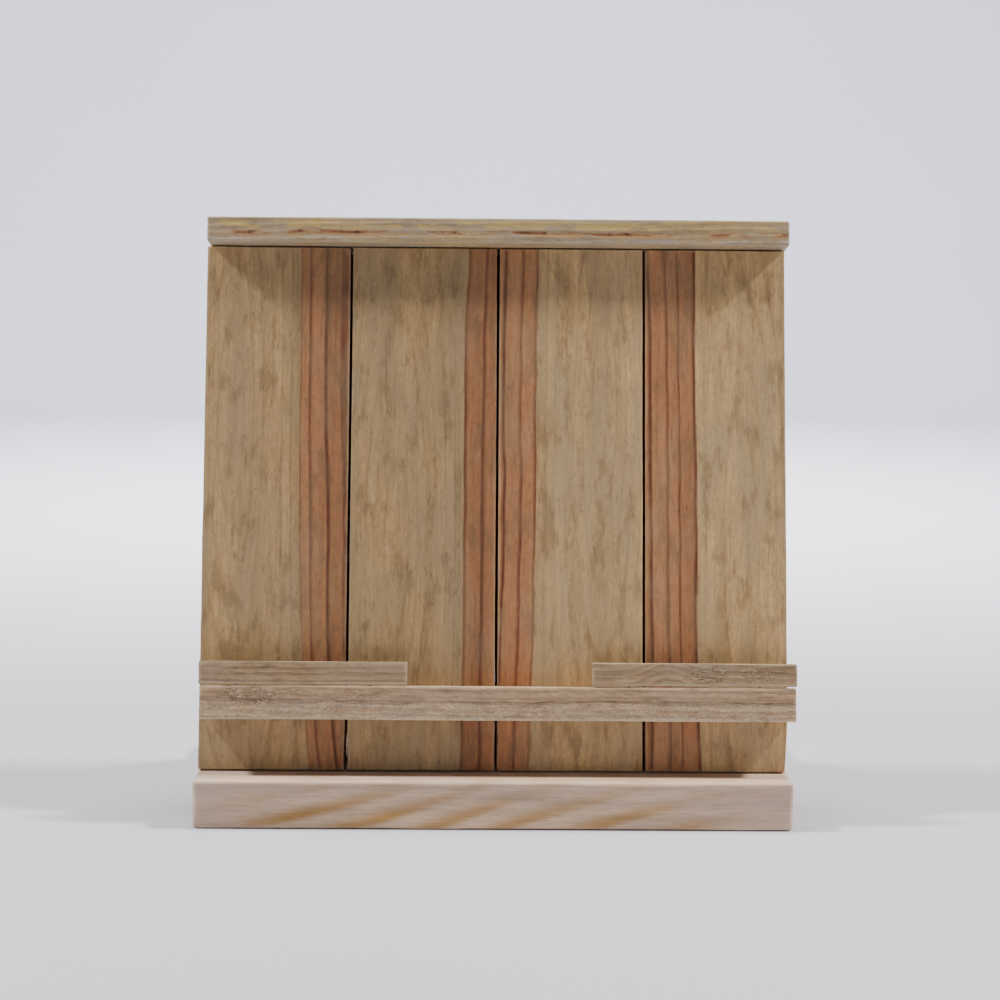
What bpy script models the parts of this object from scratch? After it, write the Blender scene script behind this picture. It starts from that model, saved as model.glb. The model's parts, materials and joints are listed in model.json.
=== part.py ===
"""A tablet stand of reclaimed pine boards.

Four upright planks, joined by two rear battens, lean back on a thick base board and are held there
by two gussets. A ledge with two short lips carries the tablet, and a cap board closes the top.
Every board, screw and brad is its own solid.

Metres, +Z up, +X to the user's right, +Y away from the user.
The origin is the centre of the base board's underside.
"""

import math

import bmesh
import bpy
from mathutils import Matrix, Vector

# Driving dimensions
GAP = 0.0003                    # play between pieces that touch
LEAN = math.radians(12.0)       # how far the panel leans back from upright

BASE_WIDTH = 0.2884
BASE_DEPTH = 0.1450
BASE_THICKNESS = 0.0237
BASE_EASING = 0.0025            # radius of the base's worked edges

FOOT_SETBACK = 0.0167           # base's front edge to the planks' front face
PLANK_LENGTH = 0.2598
PLANK_THICKNESS = 0.0180
PLANK_SEAM = 0.0009             # open joint between two planks
SEAM_CENTRES = (-0.0720, 0.0010, 0.0736)
FOOT_SHAVING = 0.0015           # taken off the last plank's outer foot
FOOT_SHAVING_HEIGHT = 0.0240
PLANK_EASING = 0.0008

CAP_LEFT = -0.1434
CAP_RIGHT = 0.1455
CAP_THICKNESS = 0.0131
CAP_FRONT_OVERHANG = 0.0085
CAP_REAR_OVERHANG = 0.0040
CAP_EASING = 0.0016

LEDGE_LEFT = -0.1421
LEDGE_RIGHT = 0.1463
LEDGE_HEIGHT = 0.0255           # planks' foot to the ledge's underside, along the panel
LEDGE_THICKNESS = 0.0166
LEDGE_DEPTH = 0.0138
LEDGE_EASING = 0.0012

LIP_HEIGHT = 0.0117
LIP_THICKNESS = 0.0060
LIP_EASING = 0.0006
LIP_LEFT_SPAN = (-0.1426, -0.0418)
LIP_RIGHT_SPAN = (0.0474, 0.1467)

BATTEN_LENGTH = 0.2760
BATTEN_THICKNESS = 0.0150
BATTEN_WIDTH = 0.0400
BATTEN_HEIGHTS = {"lower": 0.0620, "upper": 0.1960}
BATTEN_EASING = 0.0010

GUSSET_CENTRE = 0.0900          # each side of the middle
GUSSET_THICKNESS = 0.0180
GUSSET_HEIGHT = 0.1500          # along the panel
GUSSET_TIP = 0.0120             # blunt upper end, square to the panel
GUSSET_TOE = 0.0120             # blunt rear end
GUSSET_REAR_MARGIN = 0.0120     # base's rear edge to the gusset's toe
GUSSET_EASING = 0.0008
GUSSET_SCREW_SHARES = (0.25, 0.72)  # along the gusset's foot, from its front
TIP_SCREW_DROP = 0.0200         # gusset's upper end to its screw
TIP_SCREW_WOOD = 0.0180         # left under that screw's head

HEAD_RADIUS = 0.0034
HEAD_RIM = 0.00025
HEAD_HEIGHT = 0.0024
SHANK_RADIUS = 0.00175
POINT_LENGTH = 0.0040
HEAD_SUNK = 0.0003              # below the board's face
RECESS_LENGTH = 0.0036
RECESS_WIDTH = 0.0008
RECESS_DEPTH = 0.0014
SHORT_SCREW = 0.0300
CAP_SCREW = 0.0400
LONG_SCREW = 0.0500
SCREW_OFFSET = 0.0120           # base and ledge screws sit either side of a plank's middle
COUNTERBORE_RADIUS = 0.0042
COUNTERBORE_LENGTH = 0.0300

BRAD_LENGTH = 0.0200
BRAD_RADIUS = 0.0006
BRAD_HEAD_RADIUS = 0.0009
BRAD_HEAD_HEIGHT = 0.0008
BRAD_INSET = 0.0180             # from each end of a lip

ROUND_STEPS = 12
BORE_STEPS = 16
CUTTER_REACH = 0.0020           # how far a cutter stands out of the face that it opens

# Colour, roughness and metallic value of each kind of board and fastener
FINISHES = {
    "pale_pine": ((0.42, 0.32, 0.22, 1.0), 0.62, 0.0),
    "weathered_brown": ((0.22, 0.135, 0.075, 1.0), 0.78, 0.0),
    "weathered_olive": ((0.20, 0.145, 0.085, 1.0), 0.80, 0.0),
    "weathered_red": ((0.25, 0.125, 0.070, 1.0), 0.76, 0.0),
    "weathered_tan": ((0.24, 0.160, 0.090, 1.0), 0.78, 0.0),
    "straw_pine": ((0.50, 0.38, 0.25, 1.0), 0.66, 0.0),
    "sawn_grey": ((0.33, 0.25, 0.18, 1.0), 0.88, 0.0),
    "lip_brown": ((0.29, 0.20, 0.13, 1.0), 0.80, 0.0),
    "batten_pine": ((0.40, 0.29, 0.18, 1.0), 0.74, 0.0),
    "gusset_pine": ((0.44, 0.32, 0.20, 1.0), 0.72, 0.0),
    "zinc_yellow": ((0.62, 0.50, 0.28, 1.0), 0.38, 1.0),
    "bright_steel": ((0.56, 0.55, 0.53, 1.0), 0.42, 1.0),
}


def clear_scene():
    for item in list(bpy.data.objects):
        bpy.data.objects.remove(item, do_unlink=True)


def new_collection(name):
    collection = bpy.data.collections.new(name)
    bpy.context.scene.collection.children.link(collection)
    return collection


def finish_material(piece_name, finish):
    """Each piece has a material of its own."""
    colour, roughness, metallic = FINISHES[finish]
    material = bpy.data.materials.new(piece_name)
    material.use_nodes = True
    shader = material.node_tree.nodes["Principled BSDF"]
    shader.inputs["Base Color"].default_value = colour
    shader.inputs["Roughness"].default_value = roughness
    shader.inputs["Metallic"].default_value = metallic
    material.diffuse_color = colour
    return material


class Workshop:
    """The scene's collections and the panel's own frame, with the tools that make pieces in them."""

    def __init__(self):
        self.parts = new_collection("tablet_stand")
        self.cutters = new_collection("cutters")
        self.base_frame = self.empty("base_frame", Matrix.Identity(4))
        foot = Vector((0.0, FOOT_SETBACK - BASE_DEPTH / 2, BASE_THICKNESS))
        leaning = Matrix.Translation(foot) @ Matrix.Rotation(-LEAN, 4, "X")
        self.panel_frame = self.empty("panel_frame", leaning)

    def empty(self, name, matrix):
        frame = bpy.data.objects.new(name, None)
        frame.matrix_world = matrix
        frame.hide_render = True
        self.cutters.objects.link(frame)
        return frame

    def place(self, mesh, name, frame, matrix, finish):
        piece = bpy.data.objects.new(name, mesh)
        piece.parent = frame
        piece.matrix_local = matrix
        self.parts.objects.link(piece)
        piece.data.materials.clear()
        piece.data.materials.append(finish_material(name, finish))
        return piece

    def cutter(self, mesh, name, frame, matrix):
        tool = bpy.data.objects.new(name, mesh)
        tool.parent = frame
        tool.matrix_local = matrix
        tool.hide_render = True
        tool.display_type = "WIRE"
        self.cutters.objects.link(tool)
        return tool


def cut(piece, tool):
    boolean = piece.modifiers.new("cut_" + tool.name, "BOOLEAN")
    boolean.operation = "DIFFERENCE"
    boolean.solver = "EXACT"
    boolean.object = tool


def ease_edges(piece, width, segments):
    bevel = piece.modifiers.new("eased_edges", "BEVEL")
    bevel.width = width
    bevel.segments = segments
    bevel.limit_method = "ANGLE"
    bevel.angle_limit = math.radians(40.0)


def box_mesh(name, low, high):
    """A box between two corners, centred on its own origin, and the place of that centre."""
    low = Vector(low)
    high = Vector(high)
    size = high - low
    mesh = bpy.data.meshes.new(name)
    shape = bmesh.new()
    bmesh.ops.create_cube(shape, size=1.0)
    bmesh.ops.scale(shape, vec=size, verts=shape.verts)
    shape.to_mesh(mesh)
    shape.free()
    return mesh, Matrix.Translation((low + high) / 2)


def board(shop, name, frame, low, high, finish, easing, segments=2):
    mesh, place = box_mesh(name, low, high)
    piece = shop.place(mesh, name, frame, place, finish)
    ease_edges(piece, easing, segments)
    return piece


def turned_object(name, profile, steps):
    """A solid of revolution about Z. The profile runs from the top of the axis, down the outside."""
    mesh = bpy.data.meshes.new(name)
    edges = [(index, index + 1) for index in range(len(profile) - 1)]
    mesh.from_pydata([(radius, 0.0, height) for radius, height in profile], edges, [])
    piece = bpy.data.objects.new(name, mesh)
    bpy.context.scene.collection.objects.link(piece)
    screw = piece.modifiers.new("turn", "SCREW")
    screw.axis = "Z"
    screw.angle = math.tau
    screw.steps = steps
    screw.render_steps = steps
    screw.use_merge_vertices = True
    screw.merge_threshold = 0.00002
    screw.use_smooth_shade = False
    return piece


def settled_mesh(piece, name):
    """The evaluated mesh of a helper object, which is then removed."""
    bpy.context.view_layer.update()
    graph = bpy.context.evaluated_depsgraph_get()
    mesh = bpy.data.meshes.new_from_object(piece.evaluated_get(graph))
    mesh.name = name
    for helper in [piece] + list(piece.children):
        bpy.data.objects.remove(helper, do_unlink=True)
    return mesh


def screw_profile(length):
    return [
        (0.0, 0.0),
        (HEAD_RADIUS, 0.0),
        (HEAD_RADIUS, -HEAD_RIM),
        (SHANK_RADIUS, -HEAD_HEIGHT),
        (SHANK_RADIUS, POINT_LENGTH - length),
        (0.0, -length),
    ]


def screw_hole_profile(length):
    """The screw's outline moved out by the play on every side, and open above its head."""
    return [
        (0.0, CUTTER_REACH),
        (HEAD_RADIUS + GAP, CUTTER_REACH),
        (HEAD_RADIUS + GAP, -HEAD_RIM - GAP / 3),
        (SHANK_RADIUS + GAP, -HEAD_HEIGHT - GAP / 3),
        (SHANK_RADIUS + GAP, POINT_LENGTH / 4 - length),
        (0.0, -length - GAP),
    ]


def screw_mesh(length, name):
    """A countersunk wood screw with a cross recess, its head up at the origin."""
    blank = turned_object(name + "_blank", screw_profile(length), ROUND_STEPS)
    for turn in (0.0, math.pi / 2):
        half = Vector((RECESS_LENGTH / 2, RECESS_WIDTH / 2, RECESS_DEPTH))
        slot_mesh, place = box_mesh(name + "_recess", -half, half)
        slot = bpy.data.objects.new(name + "_recess", slot_mesh)
        bpy.context.scene.collection.objects.link(slot)
        slot.parent = blank
        slot.matrix_local = Matrix.Rotation(turn, 4, "Z") @ place
        cut(blank, slot)
    mesh = settled_mesh(blank, name)
    mesh.shade_smooth()
    mesh.set_sharp_from_angle(angle=math.radians(40.0))
    return mesh


def brad_profile(play):
    """A thin nail with a small flat head. With play it is the hole that the nail sits in."""
    top = CUTTER_REACH if play else 0.0
    return [
        (0.0, top),
        (BRAD_HEAD_RADIUS + play, top),
        (BRAD_HEAD_RADIUS + play, -BRAD_HEAD_HEIGHT - play),
        (BRAD_RADIUS + play, -BRAD_HEAD_HEIGHT - play),
        (BRAD_RADIUS + play, 4 * BRAD_RADIUS - BRAD_LENGTH - play),
        (0.0, -BRAD_LENGTH - play),
    ]


class Fastener:
    """One kind of screw or brad: its mesh and the mesh of its hole."""

    def __init__(self, name, solid_mesh, hole_profile, finish):
        self.mesh = solid_mesh
        self.hole = settled_mesh(turned_object(name + "_hole", hole_profile, ROUND_STEPS), name + "_hole")
        self.finish = finish

    def drive(self, shop, name, frame, head, direction, boards):
        """Sink one fastener with its head at the given place, pointing along the given direction."""
        turn = (-Vector(direction)).to_track_quat("Z", "Y").to_matrix().to_4x4()
        place = Matrix.Translation(head) @ turn
        shop.place(self.mesh.copy(), name, frame, place, self.finish)
        hole = shop.cutter(self.hole, "hole_" + name, frame, place)
        for piece in boards:
            cut(piece, hole)


def make_fasteners():
    brad_mesh = settled_mesh(turned_object("brad_blank", brad_profile(0.0), ROUND_STEPS), "brad")
    kinds = {"brad": Fastener("brad", brad_mesh, brad_profile(GAP), "bright_steel")}
    for kind, length in (("short", SHORT_SCREW), ("cap", CAP_SCREW), ("long", LONG_SCREW)):
        mesh = screw_mesh(length, kind + "_screw")
        kinds[kind] = Fastener(kind, mesh, screw_hole_profile(length), "zinc_yellow")
    return kinds


def panel_point(depth, height):
    """Y and Z, in the base's frame, of a point behind the planks' front face and up the panel."""
    y = FOOT_SETBACK - BASE_DEPTH / 2 + height * math.sin(LEAN) + depth * math.cos(LEAN)
    z = BASE_THICKNESS + height * math.cos(LEAN) - depth * math.sin(LEAN)
    return y, z


def plank_spans():
    """Left and right side of each plank."""
    half_seam = PLANK_SEAM / 2
    lefts = [-BASE_WIDTH / 2] + [centre + half_seam for centre in SEAM_CENTRES]
    rights = [centre - half_seam for centre in SEAM_CENTRES] + [BASE_WIDTH / 2]
    return list(zip(lefts, rights))


def make_base(shop):
    half_width = BASE_WIDTH / 2
    half_depth = BASE_DEPTH / 2
    low = (-half_width, -half_depth, 0.0)
    high = (half_width, half_depth, BASE_THICKNESS)
    return board(shop, "base_board", shop.base_frame, low, high, "pale_pine", BASE_EASING, 3)


def make_planks(shop):
    """Four planks whose feet are cut to the lean, so that they stand flat on the base."""
    finishes = ("weathered_brown", "weathered_olive", "weathered_red", "weathered_tan")
    planks = []
    for number, (span, finish) in enumerate(zip(plank_spans(), finishes), start=1):
        left, right = span
        low = (left, 0.0, GAP)
        high = (right, PLANK_THICKNESS, PLANK_LENGTH - GAP)
        plank = board(shop, f"back_plank_{number}", shop.panel_frame, low, high, finish, PLANK_EASING)
        foot_rise = PLANK_THICKNESS * math.tan(LEAN)
        for corner in plank.data.vertices:
            if corner.co.z < 0.0 and corner.co.y > 0.0:
                corner.co.z += foot_rise
        planks.append(plank)
    return planks


def shave_last_foot(shop, plank):
    """The last plank narrows towards its outer foot."""
    slope = math.atan2(FOOT_SHAVING, FOOT_SHAVING_HEIGHT)
    size = (2 * FOOT_SHAVING, 2 * PLANK_THICKNESS, 2 * FOOT_SHAVING_HEIGHT)
    mesh, place = box_mesh("shaving", (0.0, -PLANK_THICKNESS / 2, -size[2]), (size[0], size[1], 0.0))
    hinge = Matrix.Translation((BASE_WIDTH / 2, 0.0, FOOT_SHAVING_HEIGHT))
    tool = shop.cutter(mesh, "shaving", shop.panel_frame, hinge @ Matrix.Rotation(slope, 4, "Y") @ place)
    cut(plank, tool)


def make_cap(shop):
    low = (CAP_LEFT, -CAP_FRONT_OVERHANG, PLANK_LENGTH)
    high = (CAP_RIGHT, PLANK_THICKNESS + CAP_REAR_OVERHANG, PLANK_LENGTH + CAP_THICKNESS)
    return board(shop, "cap_board", shop.panel_frame, low, high, "straw_pine", CAP_EASING, 3)


def make_ledge(shop):
    low = (LEDGE_LEFT, -LEDGE_DEPTH, LEDGE_HEIGHT)
    high = (LEDGE_RIGHT, -GAP, LEDGE_HEIGHT + LEDGE_THICKNESS)
    return board(shop, "ledge_board", shop.panel_frame, low, high, "sawn_grey", LEDGE_EASING)


def make_lips(shop):
    bottom = LEDGE_HEIGHT + LEDGE_THICKNESS + GAP
    top = LEDGE_HEIGHT + LEDGE_THICKNESS + LIP_HEIGHT
    lips = []
    for name, (left, right) in (("lip_left", LIP_LEFT_SPAN), ("lip_right", LIP_RIGHT_SPAN)):
        low = (left, -LEDGE_DEPTH, bottom)
        high = (right, LIP_THICKNESS - LEDGE_DEPTH, top)
        lips.append(board(shop, name, shop.panel_frame, low, high, "lip_brown", LIP_EASING))
    return lips


def make_battens(shop):
    battens = {}
    for name, height in BATTEN_HEIGHTS.items():
        low = (-BATTEN_LENGTH / 2, PLANK_THICKNESS + GAP, height)
        high = (BATTEN_LENGTH / 2, PLANK_THICKNESS + GAP + BATTEN_THICKNESS, height + BATTEN_WIDTH)
        node = name + "_rear_batten"
        batten = board(shop, node, shop.panel_frame, low, high, "batten_pine", BATTEN_EASING)
        battens[name] = batten
    return battens


def gusset_outline():
    """Side view of a gusset as Y and Z: it stands on the base and is let in around the lower batten."""
    front = PLANK_THICKNESS + GAP
    notch = front + BATTEN_THICKNESS + GAP
    notch_low = BATTEN_HEIGHTS["lower"] - GAP
    notch_high = BATTEN_HEIGHTS["lower"] + BATTEN_WIDTH + GAP
    floor = BASE_THICKNESS + GAP
    toe_y = BASE_DEPTH / 2 - GUSSET_REAR_MARGIN
    rear_face_rise = (floor - panel_point(front, 0.0)[1]) / math.cos(LEAN)
    return [
        panel_point(front, rear_face_rise),
        (toe_y, floor),
        (toe_y, floor + GUSSET_TOE),
        panel_point(front + GUSSET_TIP, GUSSET_HEIGHT),
        panel_point(front, GUSSET_HEIGHT),
        panel_point(front, notch_high),
        panel_point(notch, notch_high),
        panel_point(notch, notch_low),
        panel_point(front, notch_low),
    ]


def outline_mesh(name, outline, thickness):
    """A flat outline thickened both ways, as a welded mesh in its own XY plane."""
    curve = bpy.data.curves.new(name, "CURVE")
    curve.dimensions = "2D"
    curve.fill_mode = "BOTH"
    curve.extrude = thickness / 2
    spline = curve.splines.new("POLY")
    spline.points.add(len(outline) - 1)
    for point, (across, up) in zip(spline.points, outline):
        point.co = (across, up, 0.0, 1.0)
    spline.use_cyclic_u = True
    helper = bpy.data.objects.new(name, curve)
    bpy.context.scene.collection.objects.link(helper)
    mesh = settled_mesh(helper, name)
    weld = bmesh.new()
    weld.from_mesh(mesh)
    bmesh.ops.remove_doubles(weld, verts=weld.verts, dist=0.00001)
    bmesh.ops.recalc_face_normals(weld, faces=weld.faces)
    weld.to_mesh(mesh)
    weld.free()
    return mesh


def make_gussets(shop):
    """The outline's XY plane is turned to stand in the YZ plane."""
    upright = Matrix(((0, 0, 1, 0), (1, 0, 0, 0), (0, 1, 0, 0), (0, 0, 0, 1)))
    gussets = {}
    for side, centre in (("left", -GUSSET_CENTRE), ("right", GUSSET_CENTRE)):
        name = "gusset_" + side
        mesh = outline_mesh(name, gusset_outline(), GUSSET_THICKNESS)
        place = Matrix.Translation((centre, 0.0, 0.0)) @ upright
        gussets[side] = shop.place(mesh, name, shop.base_frame, place, "gusset_pine")
        ease_edges(gussets[side], GUSSET_EASING, 1)
    return gussets


def fasten_panel(shop, kinds, planks, battens, cap, ledge):
    """Screws whose places are counted from the middle of each plank."""
    middles = [(left + right) / 2 for left, right in plank_spans()]
    frame = shop.panel_frame
    forward = (0.0, -1.0, 0.0)
    count = 0
    for height in BATTEN_HEIGHTS:
        batten = battens[height]
        mid_height = BATTEN_HEIGHTS[height] + BATTEN_WIDTH / 2
        rear_face = PLANK_THICKNESS + GAP + BATTEN_THICKNESS
        for middle, plank in zip(middles, planks):
            count += 1
            head = (middle, rear_face - HEAD_SUNK, mid_height)
            kinds["short"].drive(shop, f"batten_screw_{count}", frame, head, forward, (batten, plank))

    ledge_middle = LEDGE_HEIGHT + LEDGE_THICKNESS / 2
    for number, (middle, plank) in enumerate(zip(middles, planks), start=1):
        head = (middle - SCREW_OFFSET, PLANK_THICKNESS - HEAD_SUNK, ledge_middle)
        kinds["short"].drive(shop, f"ledge_screw_{number}", frame, head, forward, (plank, ledge))

        head = (middle, PLANK_THICKNESS / 2, PLANK_LENGTH + CAP_THICKNESS - HEAD_SUNK)
        kinds["cap"].drive(shop, f"cap_screw_{number}", frame, head, (0.0, 0.0, -1.0), (cap, plank))


def fasten_base(shop, kinds, base, planks, gussets):
    """Screws driven straight up through the base."""
    up = (0.0, 0.0, 1.0)
    bite = LONG_SCREW - BASE_THICKNESS
    plank_y = panel_point(PLANK_THICKNESS / 2, bite / 2)[0]
    for number, (span, plank) in enumerate(zip(plank_spans(), planks), start=1):
        head = (sum(span) / 2 + SCREW_OFFSET, plank_y, HEAD_SUNK)
        kinds["long"].drive(shop, f"base_screw_{number}", shop.base_frame, head, up, (base, plank))

    gusset_front = panel_point(PLANK_THICKNESS, 0.0)[0]
    gusset_rear = BASE_DEPTH / 2 - GUSSET_REAR_MARGIN
    gusset_length = gusset_rear - gusset_front
    count = 0
    for side, centre in (("left", -GUSSET_CENTRE), ("right", GUSSET_CENTRE)):
        for share in GUSSET_SCREW_SHARES:
            count += 1
            head = (centre, gusset_front + share * gusset_length, HEAD_SUNK)
            held = (base, gussets[side])
            kinds["long"].drive(shop, f"gusset_screw_{count}", shop.base_frame, head, up, held)


def fasten_gusset_tips(shop, kinds, planks, gussets):
    """A screw in a counterbore through each gusset's upper end into the outer plank."""
    head_depth = PLANK_THICKNESS + GAP + TIP_SCREW_WOOD
    height = GUSSET_HEIGHT - TIP_SCREW_DROP
    bore_profile = [
        (0.0, COUNTERBORE_LENGTH),
        (COUNTERBORE_RADIUS, COUNTERBORE_LENGTH),
        (COUNTERBORE_RADIUS, -GAP),
        (0.0, -GAP),
    ]
    bore = settled_mesh(turned_object("counterbore", bore_profile, BORE_STEPS), "counterbore")
    backward = Matrix.Rotation(-math.pi / 2, 4, "X")
    for side, centre, plank in (("left", -GUSSET_CENTRE, planks[0]), ("right", GUSSET_CENTRE, planks[3])):
        head = (centre, head_depth, height)
        place = Matrix.Translation(head) @ backward
        cut(gussets[side], shop.cutter(bore, "counterbore_" + side, shop.panel_frame, place))
        name = "gusset_tip_screw_" + side
        kinds["short"].drive(shop, name, shop.panel_frame, head, (0.0, -1.0, 0.0), (gussets[side], plank))


def nail_lips(shop, kinds, lips, ledge):
    """Two brads straight down through each lip."""
    down = (0.0, 0.0, -1.0)
    top = LEDGE_HEIGHT + LEDGE_THICKNESS + LIP_HEIGHT
    middle_depth = LIP_THICKNESS / 2 - LEDGE_DEPTH
    count = 0
    for lip, (left, right) in zip(lips, (LIP_LEFT_SPAN, LIP_RIGHT_SPAN)):
        for x in (left + BRAD_INSET, right - BRAD_INSET):
            count += 1
            head = (x, middle_depth, top - HEAD_SUNK)
            kinds["brad"].drive(shop, f"lip_brad_{count}", shop.panel_frame, head, down, (lip, ledge))


def main():
    clear_scene()
    shop = Workshop()
    kinds = make_fasteners()
    base = make_base(shop)
    planks = make_planks(shop)
    shave_last_foot(shop, planks[-1])
    cap = make_cap(shop)
    ledge = make_ledge(shop)
    lips = make_lips(shop)
    battens = make_battens(shop)
    gussets = make_gussets(shop)
    fasten_panel(shop, kinds, planks, battens, cap, ledge)
    fasten_base(shop, kinds, base, planks, gussets)
    fasten_gusset_tips(shop, kinds, planks, gussets)
    nail_lips(shop, kinds, lips, ledge)
    bpy.context.view_layer.update()


main()
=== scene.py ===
"""The looks of a tablet stand made of reclaimed pine boards.

Each board, screw and brad of the frame gets a piece of its own, worn and grained like the real one,
and a plain studio is set up round the stand. Lengths are in metres, except where a comment says
millimetres.
"""

import functools
import itertools
import json
import math

import bmesh
import bpy
import numpy as np
from mathutils import Matrix, Vector

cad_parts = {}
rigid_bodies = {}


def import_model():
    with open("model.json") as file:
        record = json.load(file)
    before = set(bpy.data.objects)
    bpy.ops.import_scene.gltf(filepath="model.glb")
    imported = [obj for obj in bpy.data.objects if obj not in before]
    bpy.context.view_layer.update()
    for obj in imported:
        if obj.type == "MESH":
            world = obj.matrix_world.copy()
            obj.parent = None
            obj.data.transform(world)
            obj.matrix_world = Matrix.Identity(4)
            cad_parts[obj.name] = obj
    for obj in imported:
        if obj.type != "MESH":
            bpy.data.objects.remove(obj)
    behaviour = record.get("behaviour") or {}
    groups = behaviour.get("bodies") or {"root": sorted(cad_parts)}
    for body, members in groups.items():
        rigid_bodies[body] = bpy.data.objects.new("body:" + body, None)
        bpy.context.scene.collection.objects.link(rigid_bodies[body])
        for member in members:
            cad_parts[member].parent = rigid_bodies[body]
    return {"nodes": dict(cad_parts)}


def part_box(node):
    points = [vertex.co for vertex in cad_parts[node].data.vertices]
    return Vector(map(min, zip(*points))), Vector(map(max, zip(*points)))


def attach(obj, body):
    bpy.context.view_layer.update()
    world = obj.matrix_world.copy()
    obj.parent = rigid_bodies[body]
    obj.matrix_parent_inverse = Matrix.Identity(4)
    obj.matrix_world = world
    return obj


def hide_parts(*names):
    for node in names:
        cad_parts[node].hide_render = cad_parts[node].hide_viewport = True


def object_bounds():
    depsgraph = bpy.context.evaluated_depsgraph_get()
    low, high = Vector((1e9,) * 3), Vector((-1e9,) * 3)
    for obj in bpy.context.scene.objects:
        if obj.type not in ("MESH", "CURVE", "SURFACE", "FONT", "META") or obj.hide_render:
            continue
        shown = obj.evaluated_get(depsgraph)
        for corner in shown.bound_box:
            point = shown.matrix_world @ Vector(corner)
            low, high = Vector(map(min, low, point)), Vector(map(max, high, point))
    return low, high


bl_info = {
    "name": "Tablet stand of reclaimed boards",
    "version": (1, 0, 0),
    "blender": (4, 5, 0),
    "location": "3D View > Sidebar > Tablet stand",
    "description": "Dresses the frame of a tablet stand in weathered pine, zinc screws and brads",
    "category": "Object",
}

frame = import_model()
CAD_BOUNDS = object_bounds()

BODY = "root"
MM = 0.001
EDGE_CELLS = 4                  # grid cells across an eased edge
SHARP_ANGLE = math.radians(38.0)

PLANKS = ("back_plank_1", "back_plank_2", "back_plank_3", "back_plank_4")
LIPS = ("lip_left", "lip_right")
BATTENS = ("upper_rear_batten", "lower_rear_batten")
GUSSETS = ("gusset_left", "gusset_right")


# ---- Where the boards lie ----

def lean_of(node):
    """How far a plank leans back, from its largest face."""
    face = max(frame["nodes"][node].data.polygons, key=lambda polygon: polygon.area)
    return math.atan2(abs(face.normal.z), abs(face.normal.y))


LEAN = lean_of(PLANKS[1])
UP_PANEL = Vector((0.0, math.sin(LEAN), math.cos(LEAN)))
OUT_OF_PANEL = Vector((0.0, -math.cos(LEAN), math.sin(LEAN)))


def turned_to(along, across):
    """A rotation whose X runs along the grain and whose Y runs across the board."""
    along = Vector(along)
    across = Vector(across)
    return Matrix((along, across, along.cross(across))).transposed()


LEVEL = turned_to((1, 0, 0), (0, 1, 0))
RAIL = turned_to((1, 0, 0), UP_PANEL)
UPRIGHT = turned_to(UP_PANEL, (-1, 0, 0))
BRACE = turned_to(UP_PANEL, OUT_OF_PANEL)


class Place:
    """A node's box in axes of its own: X along the grain, Y across it and Z out of the show face."""

    def __init__(self, nodes, rotation):
        nodes = [nodes] if isinstance(nodes, str) else nodes
        points = np.array([v.co for node in nodes for v in frame["nodes"][node].data.vertices])
        turned = points @ np.array(rotation)
        self.low = turned.min(axis=0)
        self.high = turned.max(axis=0)
        self.size = self.high - self.low
        centre = rotation @ Vector((self.low + self.high) / 2)
        self.matrix = Matrix.Translation(centre) @ rotation.to_4x4()


# ---- Noise and small formulas on arrays of points ----

def hashed(cells, seed):
    """A number from -1 to 1 for each whole-numbered cell."""
    mixed = cells[:, 0] * 73856093 ^ cells[:, 1] * 19349663 ^ cells[:, 2] * 83492791 ^ seed * 2654435761
    mixed = (mixed ^ (mixed >> 13)) * 1274126177 & 0xFFFFFFFF
    mixed = (mixed ^ (mixed >> 16)) * 668265263 & 0xFFFFFFFF
    return (mixed ^ (mixed >> 15)) % 65536 / 32767.5 - 1.0


def noise(points, scale, seed):
    """Smooth noise from -1 to 1. The scale is in cells to the metre, one number or one for each axis."""
    spread = points * np.array(scale)
    cell = np.floor(spread).astype(np.int64)
    share = spread - cell
    share = share ** 3 * (share * (share * 6 - 15) + 10)
    total = np.zeros(len(points))
    for corner in itertools.product((0, 1), repeat=3):
        weight = np.prod(np.where(corner, share, 1 - share), axis=1)
        total += weight * hashed(cell + corner, seed)
    return total


def ramp(values, start, end):
    """0 before start, 1 after end, and smooth between them."""
    share = np.clip((values - start) / (end - start), 0, 1)
    return share * share * (3 - 2 * share)


# ---- Board meshes ----

def gridded_box(size, easing, pitch):
    """A box cut into a grid, as a mesh and its points. Grid lines gather in the eased edges."""
    shape = bmesh.new()
    bmesh.ops.create_cube(shape, size=1.0)
    counts = [max(2, round((side - 2 * easing) / step)) + 2 * EDGE_CELLS for side, step in zip(size, pitch)]
    for axis, count in enumerate(counts):
        whole = [e for e in shape.edges if abs(e.verts[0].co[axis] - e.verts[1].co[axis]) > 0.9]
        bmesh.ops.subdivide_edges(shape, edges=whole, cuts=count - 1, use_grid_fill=True)
    mesh = bpy.data.meshes.new("board")
    shape.to_mesh(mesh)
    shape.free()
    points = read_vectors(mesh, "co")
    for axis, count in enumerate(counts):
        line = np.round((points[:, axis] + 0.5) * count)
        middle = easing + (size[axis] - 2 * easing) * (line - EDGE_CELLS) / (count - 2 * EDGE_CELLS)
        near = easing * line / EDGE_CELLS
        far = size[axis] - easing * (count - line) / EDGE_CELLS
        place = np.where(line <= EDGE_CELLS, near, np.where(line >= count - EDGE_CELLS, far, middle))
        points[:, axis] = place - size[axis] / 2
    return mesh, points


def read_vectors(mesh, field):
    """Every vertex's position, if the field is co, or the way out of the surface, if it is normal."""
    flat = np.empty(len(mesh.vertices) * 3)
    mesh.vertices.foreach_get(field, flat)
    return flat.reshape(-1, 3)


def write_points(mesh, points):
    mesh.vertices.foreach_set("co", points.ravel())
    mesh.update()


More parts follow.
